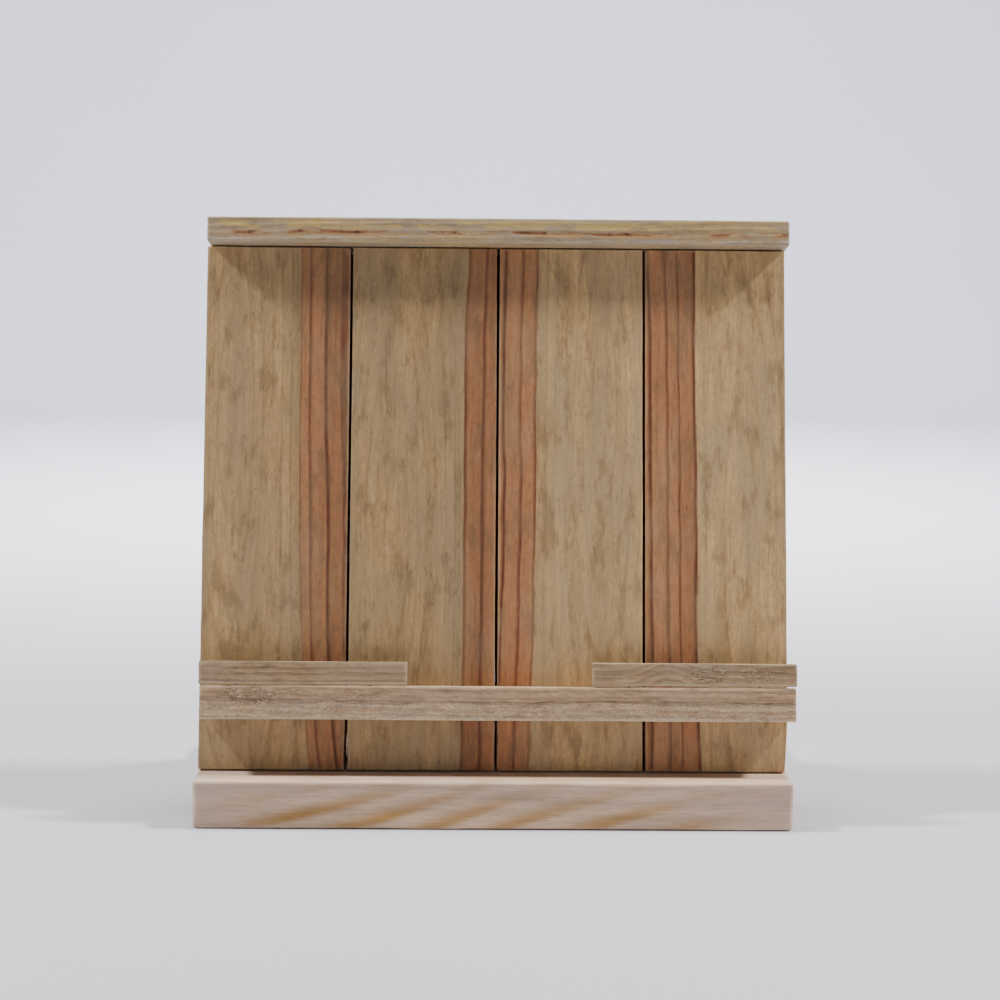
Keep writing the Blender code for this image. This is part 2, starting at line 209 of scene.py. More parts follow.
def eased(points, size, radius):
    """The points of a box pulled onto rounded edges, with the way out of the surface at each."""
    room = size / 2 - radius[:, None]
    inner = np.clip(points, -room, room)
    outward = points - inner
    outward /= np.linalg.norm(outward, axis=1)[:, None]
    return inner + outward * radius[:, None], outward


def write_attribute(mesh, name, values):
    """Stores a number or a vector for each vertex."""
    kind, field = ("FLOAT_VECTOR", "vector") if values.ndim == 2 else ("FLOAT", "value")
    attribute = mesh.attributes.new(name, kind, "POINT")
    attribute.data.foreach_set(field, values.astype(np.float32).ravel())


def add_object(name, mesh, matrix):
    """Puts a mesh in the scene as a new object at a given place."""
    piece = bpy.data.objects.new(name, mesh)
    bpy.context.scene.collection.objects.link(piece)
    piece.matrix_world = matrix
    return piece


def applied(piece):
    """Replaces a piece's mesh by what its modifiers make of it."""
    bpy.context.view_layer.update()
    graph = bpy.context.evaluated_depsgraph_get()
    mesh = bpy.data.meshes.new_from_object(piece.evaluated_get(graph))
    piece.modifiers.clear()
    piece.data = mesh
    return mesh


def settle(piece):
    """Puts a piece's place into its mesh."""
    piece.data.transform(piece.matrix_world)
    piece.matrix_world = Matrix.Identity(4)


def hand_over(piece, node, material):
    """Gives a finished piece its material and puts it in its node's place."""
    piece.data.materials.clear()
    piece.data.materials.append(material)
    piece.data.shade_smooth()
    piece.data.set_sharp_from_angle(angle=SHARP_ANGLE)
    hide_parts(node)
    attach(piece, BODY)


# ---- Screws, brads and their holes ----

UPWARD = Vector((0, 0, 1))
DRIVEN = (                      # a stem of node names, how many there are and the way they were driven
    ("batten_screw_", 8, OUT_OF_PANEL),
    ("ledge_screw_", 4, OUT_OF_PANEL),
    ("cap_screw_", 4, -UP_PANEL),
    ("base_screw_", 4, UPWARD),
    ("gusset_screw_", 4, UPWARD),
    ("lip_brad_", 4, -UP_PANEL),
)
WAYS = {f"{stem}{number}": way for stem, count, way in DRIVEN for number in range(1, count + 1)}
WAYS.update({f"gusset_tip_screw_{side}": OUT_OF_PANEL for side in ("left", "right")})


def fasteners_named(*stems):
    """The nodes whose names start with any of the stems, in the order of WAYS."""
    return [name for name in WAYS if name.startswith(stems)]


BRADS = fasteners_named("lip_brad_")
SCREWS = [name for name in WAYS if name not in BRADS]
HOLE_PLAY = 0.25 * MM           # round a fastener
HOLE_STEPS = 40


def driven_place(node):
    """A fastener's head centre as a matrix whose Z points out of its hole, its length and its radius."""
    out = -WAYS[node].normalized()
    side = Vector((1, 0, 0))
    rotation = Matrix((side, out.cross(side), out)).transposed()
    place = Place(node, rotation)
    middle = (place.low + place.high) / 2
    head = Vector((middle[0], middle[1], place.high[2]))
    matrix = Matrix.Translation(rotation @ head) @ rotation.to_4x4()
    return matrix, place.size[2], place.size[0] / 2


def turned_mesh(name, profile, steps):
    """A solid turned about Z. The profile runs from the top of the axis down the outside."""
    mesh = bpy.data.meshes.new(name)
    mesh.from_pydata([(r, 0.0, z) for r, z in profile], [(i, i + 1) for i in range(len(profile) - 1)], [])
    piece = add_object(name, mesh, Matrix.Identity(4))
    turn = piece.modifiers.new("turn", "SCREW")
    turn.steps = steps
    turn.render_steps = steps
    turn.use_merge_vertices = True
    turn.merge_threshold = 0.01 * MM
    solid = applied(piece)
    bpy.data.objects.remove(piece)
    faced_outward(solid)
    return solid


def faced_outward(mesh):
    """Turns a closed mesh's faces so that they all look outward."""
    shape = bmesh.new()
    shape.from_mesh(mesh)
    bmesh.ops.recalc_face_normals(shape, faces=shape.faces)
    shape.to_mesh(mesh)
    shape.free()


def drill(piece, nodes):
    """Cuts the holes of the named fasteners out of a piece, all in one go."""
    holes = bpy.data.collections.new("holes")
    for node in nodes:
        matrix, length, radius = driven_place(node)
        top = 1.2 * MM
        mouth = radius + HOLE_PLAY
        shank = radius * (0.68 if node in BRADS else 0.52) + HOLE_PLAY
        cone = radius * (0.5 if node in BRADS else 0.72)
        profile = [(0, top), (mouth, top), (mouth, -0.15 * MM), (shank, -cone), (shank, 0.3 * MM - length),
                   (0, -length - 0.3 * MM)]
        cutter = bpy.data.objects.new("hole_" + node, turned_mesh("hole", profile, HOLE_STEPS))
        cutter.matrix_world = matrix
        holes.objects.link(cutter)
    cut = piece.modifiers.new("holes", "BOOLEAN")
    cut.operand_type = "COLLECTION"
    cut.collection = holes
    cut.solver = "EXACT"
    mesh = applied(piece)
    for cutter in list(holes.objects):
        bpy.data.objects.remove(cutter)
    bpy.data.collections.remove(holes)
    return mesh


# ---- Grain: how each board was sawn from its log ----

class Grain:
    """The growth rings, heartwood, torn patches and knots of one board, in millimetres in its own axes.

    rings, heart and sawn are formulas on points. tears holds each torn patch's centre, its reach along and
    across the board and its strength, and knots holds each knot's centre and radius.
    """

    def __init__(self, seed, rings, heart=None, tears=(), knots=(), sway=1.2, sawn=None):
        self.seed = seed
        self.rings = rings
        self.heart = heart
        self.tears = tears
        self.knots = knots
        self.sway = sway
        self.sawn = sawn

    def bent(self, points):
        """The points moved a little across the grain, so that the fibres wander."""
        moved = points.copy()
        moved[:, 1] += self.sway * MM * noise(points, (14, 30, 30), self.seed)
        moved[:, 1] += 0.3 * self.sway * MM * noise(points, (60, 90, 90), self.seed + 1)
        moved[:, 2] += self.sway * MM * noise(points, (12, 24, 24), self.seed + 2)
        return moved

    def read(self, points, facing):
        """Every field of the grain at points whose surface faces a given way."""
        bent = self.bent(points)
        flat = bent / MM
        ring = self.rings(flat)
        knot = np.full(len(points), 4.0)
        for x, y, radius in self.knots:
            away = np.hypot((flat[:, 0] - x) * 0.8, flat[:, 1] - y) / radius
            ring = ring + 1.3 * np.exp(-(away / 2.4) ** 2)
            knot = np.minimum(knot, away)
        heart = np.zeros(len(points)) if self.heart is None else self.heart(flat)
        sawn = np.zeros(len(points)) if self.sawn is None else self.sawn(flat)
        tear = 0.55 * sawn
        for x, y, reach_x, reach_y, strength in self.tears:
            away = np.hypot((flat[:, 0] - x) / reach_x, (flat[:, 1] - y) / reach_y)
            ragged = away * (1 + 0.25 * noise(points, 160, self.seed + 9))
            tear = np.maximum(tear, strength * (1 - ramp(ragged, 0.55, 1.0)))
        tear = tear * ramp(facing[:, 2], 0.3, 0.8)
        return {"ring": ring, "heart": heart, "tear": tear, "knot": knot, "sawn": sawn}

    def write(self, mesh, size):
        """Stores the grain's fields on a finished mesh for its material to read."""
        points = read_vectors(mesh, "co")
        facing = read_vectors(mesh, "normal")
        for name, values in self.read(points, facing).items():
            write_attribute(mesh, name, values)
        grain = self.bent(points)
        grain[:, 0] += SEED_STEP * self.seed
        write_attribute(mesh, "grain", grain)
        inset = np.sort(np.abs(size / 2 - np.abs(points)), axis=1)[:, 1]
        write_attribute(mesh, "edge", 1 - ramp(inset, 0, EDGE_REACH))
        write_attribute(mesh, "end", ramp(np.abs(facing[:, 0]), 0.5, 0.9))


SAWN_DEPTH = 0.28 * MM          # how far a rough sawn band lies below the planed one
TORN_DEPTH = 0.10 * MM          # deepest pit in torn grain
LINE_PHASE = 0.92               # where in a ring its dark line is darkest
SKEWED_EDGE = 1.15 * MM         # how far a plank's edge leans towards its neighbour at the rear
SPLIT_DEPTH = 0.45 * MM         # hollow in the two edges of the first seam, near the foot
FOOT_SHAVING = 1.5 * MM         # taken off the last plank's outer foot
FOOT_SHAVING_REACH = 24 * MM
SEED_STEP = 1.7                 # metres between one board's stretch of noise and the next one's
EDGE_REACH = 4 * MM


def plank_grain(seed, size, heart_side, lines, bend, soft):
    """A flat-sawn plank with heartwood down one side and pointed arches beyond it.

    heart_side is 1 or -1 along the board's Y. lines says how far in from that side each dark line of the
    heartwood stands, and the last of them ends it. bend is how far the lines lean over by the top, and
    over what length, and soft is half the width over which the heartwood fades.
    """
    half_length, half_width = size[0] / MM / 2, size[1] / MM / 2
    apex = 0.74 * size[1] / MM
    crown = half_length * (0.35 if seed % 2 else -0.15)
    heart_width = lines[-1]
    stands = [lines[0] - 8.0, *lines, *(heart_width + 4.6 * (step + 1) for step in range(14))]
    phases = [order + LINE_PHASE for order in range(len(stands))]

    def across(p):
        leaning = bend[0] * (1 - np.exp(-(p[:, 0] + half_length) / bend[1]))
        return half_width - heart_side * p[:, 1] - leaning + 0.35 * p[:, 2]

    def rings(p):
        straight = across(p)
        arched = apex - np.hypot(straight - apex, 0.13 * (p[:, 0] - crown))
        share = ramp(straight, heart_width, heart_width + 22)
        return np.interp(straight + share * (arched - straight), stands, phases)

    def heart(p):
        return 1 - ramp(across(p), heart_width - 0.2 - soft, heart_width + 0.4 + soft)

    return Grain(seed, rings, heart)


def rail_grain(seed, spacing, pith, slope=0.0, arch=None, sway=0.8, **flaws):
    """A straight-grained strip.

    pith is where the log's centre lies, and arch lifts the lines over a bump. flaws holds any heart, tears,
    knots and sawn band.
    """

    def rings(p):
        lift = slope * p[:, 0]
        if arch:
            centre, reach, rise = arch
            lift = lift + rise * np.exp(-((p[:, 0] - centre) / reach) ** 2)
        return np.hypot(p[:, 1] - pith[0] - lift, p[:, 2] - pith[1]) / spacing

    return Grain(seed, rings, sway=sway, **flaws)


def base_grain(seed, spacing, climb, reach):
    """Rings that climb across the board's middle and lie level at its ends."""
    pith_depth = 95

    def rings(p):
        lift = climb * reach * np.tanh((p[:, 0] - 6) / reach)
        return 40 - np.hypot(p[:, 2] + pith_depth - lift, 0.55 * (p[:, 1] - 12)) / spacing

    def heart(p):
        middle = 1 - ramp(np.abs(p[:, 0] + 8), 84, 138)
        patchy = 0.80 + 0.20 * noise(p * MM, (34, 20, 60), seed + 12)
        return middle * patchy * (0.22 + 0.78 * ramp(-p[:, 2], -10, 9))

    return Grain(seed, rings, heart, sway=1.6)


# ---- Making one board ----

def surface_depth(points, outward, fields, look, seed):
    """How far use and sawing have taken each point below the flat, in metres."""
    share = fields["ring"] % 1.0
    early = 1 - ramp(share, 0.35, 0.85) * (1 - ramp(share, 0.93, 1.0))
    flat = ramp(np.abs(outward).max(axis=1), 0.75, 0.98) * (1 - ramp(np.abs(outward[:, 0]), 0.3, 0.7))
    depth = look.relief * flat * early
    depth = depth + look.waviness * (0.5 + 0.5 * noise(points, (20, 45, 45), seed + 5))
    depth = depth + look.roughness_depth * (0.5 + 0.5 * noise(points, (160, 420, 420), seed + 6))
    depth = depth + fields["sawn"] * SAWN_DEPTH * ramp(outward[:, 2], 0.5, 0.9)
    return depth + fields["tear"] * TORN_DEPTH * (0.5 + 0.5 * noise(points, (260, 420, 420), seed + 7))


def chipped(points, chips):
    """Missing flakes: each has a centre just outside the board and a ragged radius, in millimetres."""
    for centre, radius in chips:
        centre = np.array(centre) * MM
        away = points - centre
        reach = np.linalg.norm(away, axis=1)
        heading = away / reach[:, None]
        ragged = radius * MM * (1 + 0.16 * noise(heading, 2.2, 7) + 0.07 * noise(heading, 6.0, 8))
        points = np.where((reach < ragged)[:, None], centre + heading * ragged[:, None], points)
    return points


def make_board(node, rotation, look, grain, pitch, material, holes=(), chips=(), reshape=None):
    """Builds one board: a fine box with worn edges, raised grain, chips and its fasteners' holes.

    pitch is the spacing of its grid along, across and through it, in millimetres.
    """
    place = Place(node, rotation)
    mesh, points = gridded_box(place.size, look.easing, np.array(pitch) * MM)
    share = 0.75 + 0.25 * noise(points, (35, 80, 80), grain.seed + 3)
    points, outward = eased(points, place.size, look.easing * np.clip(share, 0.12, 1.0))
    fields = grain.read(points, outward)
    points = points - outward * surface_depth(points, outward, fields, look, grain.seed)[:, None]
    points = chipped(points, chips)
    if reshape is not None:
        points = reshape(points, place.size)
    write_points(mesh, points)
    piece = add_object(node + "_wood", mesh, place.matrix)
    if holes:
        mesh = drill(piece, holes)
    grain.write(mesh, place.size)
    settle(piece)
    hand_over(piece, node, material)


def shaped_plank(number):
    """How a plank's grid is bent: a foot cut to the lean, edges not quite square, and a few flaws."""

    def reshape(points, size):
        moved = points.copy()
        height = points[:, 0] + size[0] / 2
        depth = 0.5 - points[:, 2] / size[2]
        left = ramp(points[:, 1], 0.46 * size[1], 0.5 * size[1])
        right = ramp(-points[:, 1], 0.46 * size[1], 0.5 * size[1])
        moved[:, 0] += (1 - ramp(height, 0, 30 * MM)) * depth * size[2] * math.tan(LEAN)
        if number > 1:
            moved[:, 1] += left * SKEWED_EDGE * ramp(depth, 0.25, 0.8)
        if number in (1, 2):
            split = ramp(height, 1.5 * MM, 3 * MM) * (1 - ramp(height, 12 * MM, 17 * MM))
            open_side = right if number == 1 else -left
            moved[:, 1] += open_side * split * SPLIT_DEPTH * (0.8 + 0.4 * noise(points, 260, number))
        if number == 4:
            outer = ramp(-points[:, 1], -0.1 * size[1], 0.5 * size[1])
            moved[:, 1] += FOOT_SHAVING * np.clip(1 - height / FOOT_SHAVING_REACH, 0, 1) * outer
        return moved

    return reshape


# ---- Shader nodes ----

class Tree:
    """Adds nodes to a node tree and joins them."""

    def __init__(self, tree):
        self.tree = tree
        self.count = 0

    def add(self, kind, inputs=None, **settings):
        node = self.tree.nodes.new(kind)
        node.location = (self.count % 10 * 190, -(self.count // 10) * 280)
        self.count += 1
        for name, value in settings.items():
            setattr(node, name, value)
        for key, value in (inputs or {}).items():
            if isinstance(value, bpy.types.NodeSocket):
                self.tree.links.new(value, node.inputs[key])
            else:
                node.inputs[key].default_value = value
        return node

    def math(self, operation, *terms):
        return self.add("ShaderNodeMath", dict(enumerate(terms)), operation=operation).outputs[0]

    def sum(self, *terms):
        return functools.reduce(lambda total, term: self.math("ADD", total, term), terms)

    def times(self, *terms):
        return functools.reduce(lambda product, term: self.math("MULTIPLY", product, term), terms)

    def one_minus(self, value):
        return self.math("SUBTRACT", 1.0, value)

    def centred(self, value):
        """A value from 0 to 1 moved to lie between -0.5 and 0.5."""
        return self.math("SUBTRACT", value, 0.5)

    def ramp(self, value, start, end):
        return self.add("ShaderNodeMapRange", {0: value, 1: start, 2: end},
                        interpolation_type="SMOOTHSTEP").outputs[0]

    def mix(self, share, first, second, blend="MIX"):
        return self.add("ShaderNodeMix", {0: share, 6: first, 7: second},
                        data_type="RGBA", blend_type=blend).outputs[2]

    def scaled(self, vector, scale):
        return self.add("ShaderNodeVectorMath", {0: vector, 1: scale}, operation="MULTIPLY").outputs[0]

    def noise(self, vector, scale, detail=2.0, roughness=0.5):
        node = self.add("ShaderNodeTexNoise", {"Vector": self.scaled(vector, scale), "Scale": 1.0,
                                              "Detail": detail, "Roughness": roughness})
        return node.outputs["Fac"]

    def attribute(self, name, output="Fac"):
        return self.add("ShaderNodeAttribute", attribute_name=name).outputs[output]

    def group(self, name, **inputs):
        """A shader node group, built the first time that it is asked for."""
        tree = bpy.data.node_groups.get(name) or GROUP_MAKERS[name]()
        return self.add("ShaderNodeGroup", inputs, node_tree=tree).outputs

    def dimmed(self, colour, share):
        """The colour times a number."""
        return self.add("ShaderNodeVectorMath", {0: colour, "Scale": share}, operation="SCALE").outputs[0]

    def varied(self, colour, value, strength):
        """The colour made lighter and darker by a value from 0 to 1."""
        return self.dimmed(colour, self.sum(1.0, self.times(self.centred(value), strength)))

    def surface(self, height, depth, strength=1.0, **inputs):
        """The tree's shader and its output. The bump follows height and is as deep as depth."""
        bump = self.add("ShaderNodeBump", {"Strength": strength, "Distance": depth, "Height": height})
        inputs = {name.replace("_", " "): value for name, value in inputs.items()}
        shader = self.add("ShaderNodeBsdfPrincipled", {"Normal": bump.outputs[0], **inputs})
        self.add("ShaderNodeOutputMaterial", {"Surface": shader.outputs[0]})


def new_material(name):
    """A material with an empty tree, and what adds nodes to it."""
    material = bpy.data.materials.new(name)
    material.use_nodes = True
    material.node_tree.nodes.clear()
    return material, Tree(material.node_tree)


def new_group(name, inputs, outputs):
    """A shader node group with named sockets, its tree and the sockets that carry its inputs."""
    tree = bpy.data.node_groups.new(name, "ShaderNodeTree")
    for label, kind, default in inputs:
        socket = tree.interface.new_socket(label, in_out="INPUT", socket_type="NodeSocket" + kind)
        if default is not None:
            socket.default_value = default
    for label in outputs:
        tree.interface.new_socket(label, in_out="OUTPUT", socket_type="NodeSocketFloat")
    nodes = Tree(tree)
    return tree, nodes, nodes.add("NodeGroupInput").outputs


def close_group(nodes, **outputs):
    nodes.add("NodeGroupOutput", outputs)


def ring_bands_group():
    """Dark late wood at the end of each year's ring, and a tone of its own for each year."""
    tree, n, given = new_group("ring_bands", [("Ring", "Float", 0.0), ("Start", "Float", 0.45),
                                              ("Peak", "Float", 0.90), ("Variation", "Float", 0.25)],
                               ["Late", "Tone"])
    share = n.math("FRACT", given["Ring"])
    rise = n.ramp(share, given["Start"], given["Peak"])
    fall = n.ramp(share, n.sum(given["Peak"], 0.04), 1.0)
    late = n.times(n.math("POWER", rise, 1.3), n.one_minus(fall))
    year = n.add("ShaderNodeTexWhiteNoise", {"W": n.math("FLOOR", given["Ring"])}, noise_dimensions="1D")
    tone = year.outputs["Value"]
    kept = n.one_minus(n.times(given["Variation"], tone))
    close_group(n, Late=n.times(late, kept), Tone=tone)
    return tree


def fibres_group():
    """Streaks that run along the grain: broad ones, fine ones and short dark pores."""
    tree, n, given = new_group("fibres", [("Grain", "Vector", None)], ["Fine", "Streak", "Pores"])
    fine = n.noise(given["Grain"], (70, 1300, 1300), 3.0, 0.6)
    streak = n.noise(given["Grain"], (8, 150, 150), 6.0, 0.68)
    pores = n.ramp(n.noise(given["Grain"], (110, 1300, 1300), 1.0), 0.60, 0.74)
    close_group(n, Fine=fine, Streak=streak, Pores=pores)
    return tree


def weather_group():
    """Clouds of grey and smaller stains, stretched a little along the grain."""
    tree, n, given = new_group("weather", [("Grain", "Vector", None)],
                               ["Cloud", "Stain", "Specks", "Fuzz"])
    cloud = n.ramp(n.noise(given["Grain"], (16, 48, 48), 5.0, 0.65), 0.42, 0.60)
    stain = n.ramp(n.noise(given["Grain"], (48, 130, 130), 5.0, 0.68), 0.50, 0.66)
    specks = n.ramp(n.noise(given["Grain"], (420, 650, 650), 2.0, 0.7), 0.60, 0.72)
    fuzz = n.noise(given["Grain"], (260, 480, 480), 4.0, 0.68)
    close_group(n, Cloud=cloud, Stain=stain, Specks=specks, Fuzz=fuzz)
    return tree


def torn_grain_group():
    """Fibres torn up by the saw: pits and light tufts where the Tear mask is high."""
    tree, n, given = new_group("torn_grain", [("Grain", "Vector", None), ("Tear", "Float", 0.0)],
                               ["Pits", "Tufts", "Height"])
    coarse = n.noise(given["Grain"], (1250, 1500, 1500), 1.0, 0.5)
    tilted = n.noise(given["Grain"], (260, 900, 900), 3.0, 0.6)
    dirt = n.ramp(n.noise(given["Grain"], (120, 170, 170), 3.0, 0.6), 0.35, 0.65)
    pits = n.times(given["Tear"], n.sum(n.times(n.ramp(coarse, 0.52, 0.40), 0.85), n.times(dirt, 0.40)))
    tufts = n.times(given["Tear"], n.ramp(tilted, 0.54, 0.64))
    height = n.times(given["Tear"], n.centred(coarse))
    close_group(n, Pits=pits, Tufts=tufts, Height=height)
    return tree


def worn_edge_group():
    """Edges rubbed light, in a broken line."""
    tree, n, given = new_group("worn_edge", [("Grain", "Vector", None), ("Edge", "Float", 0.0)],
                               ["Wear"])
    broken = n.centred(n.noise(given["Grain"], (60, 240, 240), 4.0, 0.65))
    close_group(n, Wear=n.ramp(n.sum(given["Edge"], n.times(broken, 1.3)), 0.62, 1.0))
    return tree


def grain_line_group():
    """One line along the grain at a given height across it, broken into dashes with dark cores."""
    tree, n, given = new_group("grain_line", [("Grain", "Vector", None), ("Height", "Float", 0.0),
                                              ("Width", "Float", 0.001), ("Gaps", "Float", 0.5)],
                               ["Line", "Core"])
    apart = n.add("ShaderNodeSeparateXYZ", {0: given["Grain"]}).outputs
    along = n.add("ShaderNodeCombineXYZ", {0: apart["X"], 1: given["Height"]}).outputs[0]
    wander = n.times(n.centred(n.noise(along, (45, 1, 1), 3.0)), 2.2 * MM)
    offset = n.math("ABSOLUTE", n.math("SUBTRACT", n.sum(apart["Y"], wander), given["Height"]))
    near = n.one_minus(n.ramp(n.math("DIVIDE", offset, given["Width"]), 0.1, 1.0))
    dashes = n.noise(given["Grain"], (62, 230, 230), 4.0, 0.65)
    cores = n.noise(along, (120, 1, 1), 2.0)
    line = n.times(near, n.ramp(n.math("SUBTRACT", dashes, given["Gaps"]), -0.05, 0.07))
    close_group(n, Line=line, Core=n.times(near, n.ramp(cores, 0.52, 0.62)))
    return tree


GROUP_MAKERS = {
    "ring_bands": ring_bands_group,
    "fibres": fibres_group,
    "weather": weather_group,
    "torn_grain": torn_grain_group,
    "worn_edge": worn_edge_group,
    "grain_line": grain_line_group,
}


def knotted(n, wood, look, knot):
    """The wood with its knots drawn in, and the dark rim round each. knot is 1 where a knot ends."""
    inside = n.one_minus(n.ramp(knot, 0.92, 1.1))
    rim = n.times(n.ramp(knot, 0.82, 0.97), n.one_minus(n.ramp(knot, 1.0, 1.16)))
    knot_wood = n.mix(n.math("FRACT", n.times(knot, 4.0)), look.heart, look.late)
    wood = n.mix(n.times(inside, 0.9), wood, n.dimmed(knot_wood, 0.6))
    return n.dimmed(wood, n.one_minus(n.times(rim, 0.65))), rim


def wood_material(name, look, lines=(), tone=1.0):
    """Weathered wood. lines holds the height, width, gaps, colour and core colour of each line in it."""
    material, n = new_material(name)
    grain = n.attribute("grain", "Vector")
    heart = n.attribute("heart")
    end = n.attribute("end")
    rings = n.group("ring_bands", Ring=n.attribute("ring"), Start=look.late_start, Peak=look.late_peak)
    fibres = n.group("fibres", Grain=grain)
    weather = n.group("weather", Grain=grain)
    torn = n.group("torn_grain", Grain=grain, Tear=n.attribute("tear"))
    wear = n.group("worn_edge", Grain=grain, Edge=n.attribute("edge"))["Wear"]

    strength = n.sum(look.contrast, n.times(heart, look.heart_contrast - look.contrast))
    wood = n.mix(heart, look.ground, look.heart)
    wood = n.mix(n.times(rings["Late"], strength), wood, look.late)
    wood = n.varied(wood, rings["Tone"], 0.14)
    wood = n.varied(wood, fibres["Streak"], look.streaks)
    wood = n.varied(wood, fibres["Fine"], 0.45 * look.streaks)
    wood = n.varied(wood, weather["Fuzz"], look.fuzz)
    greyed = n.times(weather["Cloud"], look.silvering, n.one_minus(n.times(heart, 0.55)))
    wood = n.mix(greyed, wood, look.silver)
    wood = n.mix(n.times(weather["Stain"], look.staining), wood, look.stain)
    wood = n.dimmed(wood, n.one_minus(n.times(fibres["Pores"], 0.8 * look.specks)))
    wood = n.dimmed(wood, n.one_minus(n.times(weather["Specks"], look.specks)))
    wood = n.mix(n.times(torn["Pits"], 0.75), wood, look.stain)
    wood = n.mix(n.times(torn["Tufts"], 0.55), wood, look.raw)
    wood, rim = knotted(n, wood, look, n.attribute("knot"))
    height = n.sum(n.times(fibres["Fine"], 0.14), n.times(fibres["Streak"], 0.20),
                   n.times(weather["Fuzz"], 0.6 * look.fuzz),
                   n.times(fibres["Pores"], -0.10), n.times(rings["Late"], 0.08),
                   n.times(torn["Height"], 0.9), n.times(torn["Tufts"], 0.25), n.times(rim, -0.4))
    for at, width, gaps, colour, core_colour in lines:
        line = n.group("grain_line", Grain=grain, Height=at, Width=width, Gaps=gaps)
        core = n.times(line["Line"], line["Core"])
        wood = n.mix(line["Line"], wood, (*colour, 1.0))
        wood = n.mix(core, wood, (*core_colour, 1.0))
        height = n.sum(height, n.times(core, -0.35))
    wood = n.mix(n.times(wear, look.wear), wood, look.raw)
    wood = n.dimmed(wood, n.times(tone, n.one_minus(n.times(end, 0.22))))
    rough = n.sum(look.roughness, n.times(n.centred(fibres["Streak"]), 0.25), n.times(wear, -0.06),
                  n.times(end, 0.08))
    n.surface(height, look.bump, Base_Color=wood, Roughness=rough, Specular_IOR_Level=0.32)
    return material


def metal_material(name, look):
    """Plated or bright steel with a mottled tint and fine scratches."""
    material, n = new_material(name)
    place = n.add("ShaderNodeTexCoord").outputs["Object"]
    mottle = n.ramp(n.noise(place, (520, 520, 520), 3.0), 0.35, 0.7)
    scratches = n.noise(place, (900, 5200, 5200), 2.0, 0.7)
    colour = n.mix(mottle, look.bright, look.tarnish)
    colour = n.dimmed(colour, n.sum(0.86, n.times(scratches, 0.28)))
    rough = n.sum(look.roughness, n.times(n.centred(scratches), 0.3), n.times(mottle, 0.12))
    n.surface(scratches, 0.05 * MM, strength=0.6, Base_Color=colour, Roughness=rough, Metallic=1.0)
    return material


# ---- Fasteners ----

THREAD_PITCH = 1.7 * MM
THREAD_STEPS = 24               # round the shank
THREAD_ROWS = 8                 # to a turn of the thread
POINT_LENGTH = 4 * MM
POINT_ROWS = 17
TIP_GAP = 0.1 * MM              # between a fastener's point and the end of its node's box
CROSS_CORNER = (0.19, 0.19)     # where two arms of the recess meet, in head radii
SPIN_STEP = 0.83                # turn of one fastener's recess from the last one's
BRAD_STEPS = 32
GUSSET_CELL = 0.8 * MM


def lofted(name, rings, closed_ends=2):
    """A mesh of quads between rings of points. One or both ends are closed by a face."""
    count = len(rings[0])
    faces = []
    for low in range(0, (len(rings) - 1) * count, count):
        for step in range(count):
            after = (step + 1) % count
            faces.append((low + step, low + count + step, low + count + after, low + after))
    faces.append(tuple(range(count)))
    if closed_ends == 2:
        faces.append(tuple(reversed(range((len(rings) - 1) * count, len(rings) * count))))
    mesh = bpy.data.meshes.new(name)
    mesh.from_pydata([point for ring in rings for point in ring], [], faces)
    return mesh


def screw_outline(length, radius, shank, core):
    """A screw's profile from its head down, as radius, height and how fully the thread stands out."""
    thread_top = -0.36 * length
    thread_end = POINT_LENGTH - length
    head = [(0.02, 0.0), (0.35, -0.01), (0.7, -0.02), (0.93, -0.045), (1.0, -0.09), (0.985, -0.14),
            (0.52, -0.66)]
    rows = [(r * radius, z * radius, 0.0) for r, z in head]
    rows += [(shank * 0.86, thread_top + 1.0 * MM, 0.0), (shank * 0.84, thread_top, 0.0)]
    count = round((thread_top - thread_end) / (THREAD_PITCH / THREAD_ROWS))
    for row in range(1, count + 1):
        rows.append((core, thread_top + (thread_end - thread_top) * row / count, 1.0))
    for row in range(1, POINT_ROWS):
        share = row / POINT_ROWS
        rows.append((core * (1 - share), thread_end + (TIP_GAP - length - thread_end) * share, 1.0 - share))
    return rows


def screw_mesh(length, radius):
    """A countersunk wood screw with a cross recess. Its head's top is at the origin and it points down."""
    shank = 0.50 * radius
    core = 0.34 * radius
    rings = []
    for r, z, threaded in screw_outline(length, radius, shank, core):
        ring = []
        for step in range(THREAD_STEPS):
            turn = step / THREAD_STEPS
            crest = abs((z / THREAD_PITCH - turn) % 1.0 - 0.5) * 2
            reach = r + (shank - core) * max(0.0, 1 - 2.6 * (1 - crest)) * threaded
            ring.append((reach * math.cos(math.tau * turn), reach * math.sin(math.tau * turn), z))
        rings.append(ring)
    mesh = lofted("screw", rings)
    faced_outward(mesh)
    screw = add_object("screw", mesh, Matrix.Identity(4))
    recess = add_object("recess", cross_mesh(radius), Matrix.Identity(4))
    cut = screw.modifiers.new("recess", "BOOLEAN")
    cut.object = recess
    cut.solver = "EXACT"
    finished = applied(screw)
    bpy.data.objects.remove(screw)
    bpy.data.objects.remove(recess)
    return finished


def cross_mesh(radius):
    """A tapered cross that cuts the driver's recess."""
    rings = []
    for z, spread in [(0.3, 1.08), (0.0, 1.0), (-0.62, 0.42)]:
        ring = []
        for turn in (0, math.pi / 2, math.pi, 3 * math.pi / 2):
            for x, y in [(0.62, 0.15), CROSS_CORNER, (0.15, 0.62)]:
                arm = radius * (0.6 * spread + 0.4 if (x, y) == CROSS_CORNER else spread)
                ring.append((arm * (x * math.cos(turn) - y * math.sin(turn)),
                             arm * (x * math.sin(turn) + y * math.cos(turn)), radius * z))
        rings.append(ring)
    mesh = lofted("cross", rings)
    faced_outward(mesh)
    return mesh


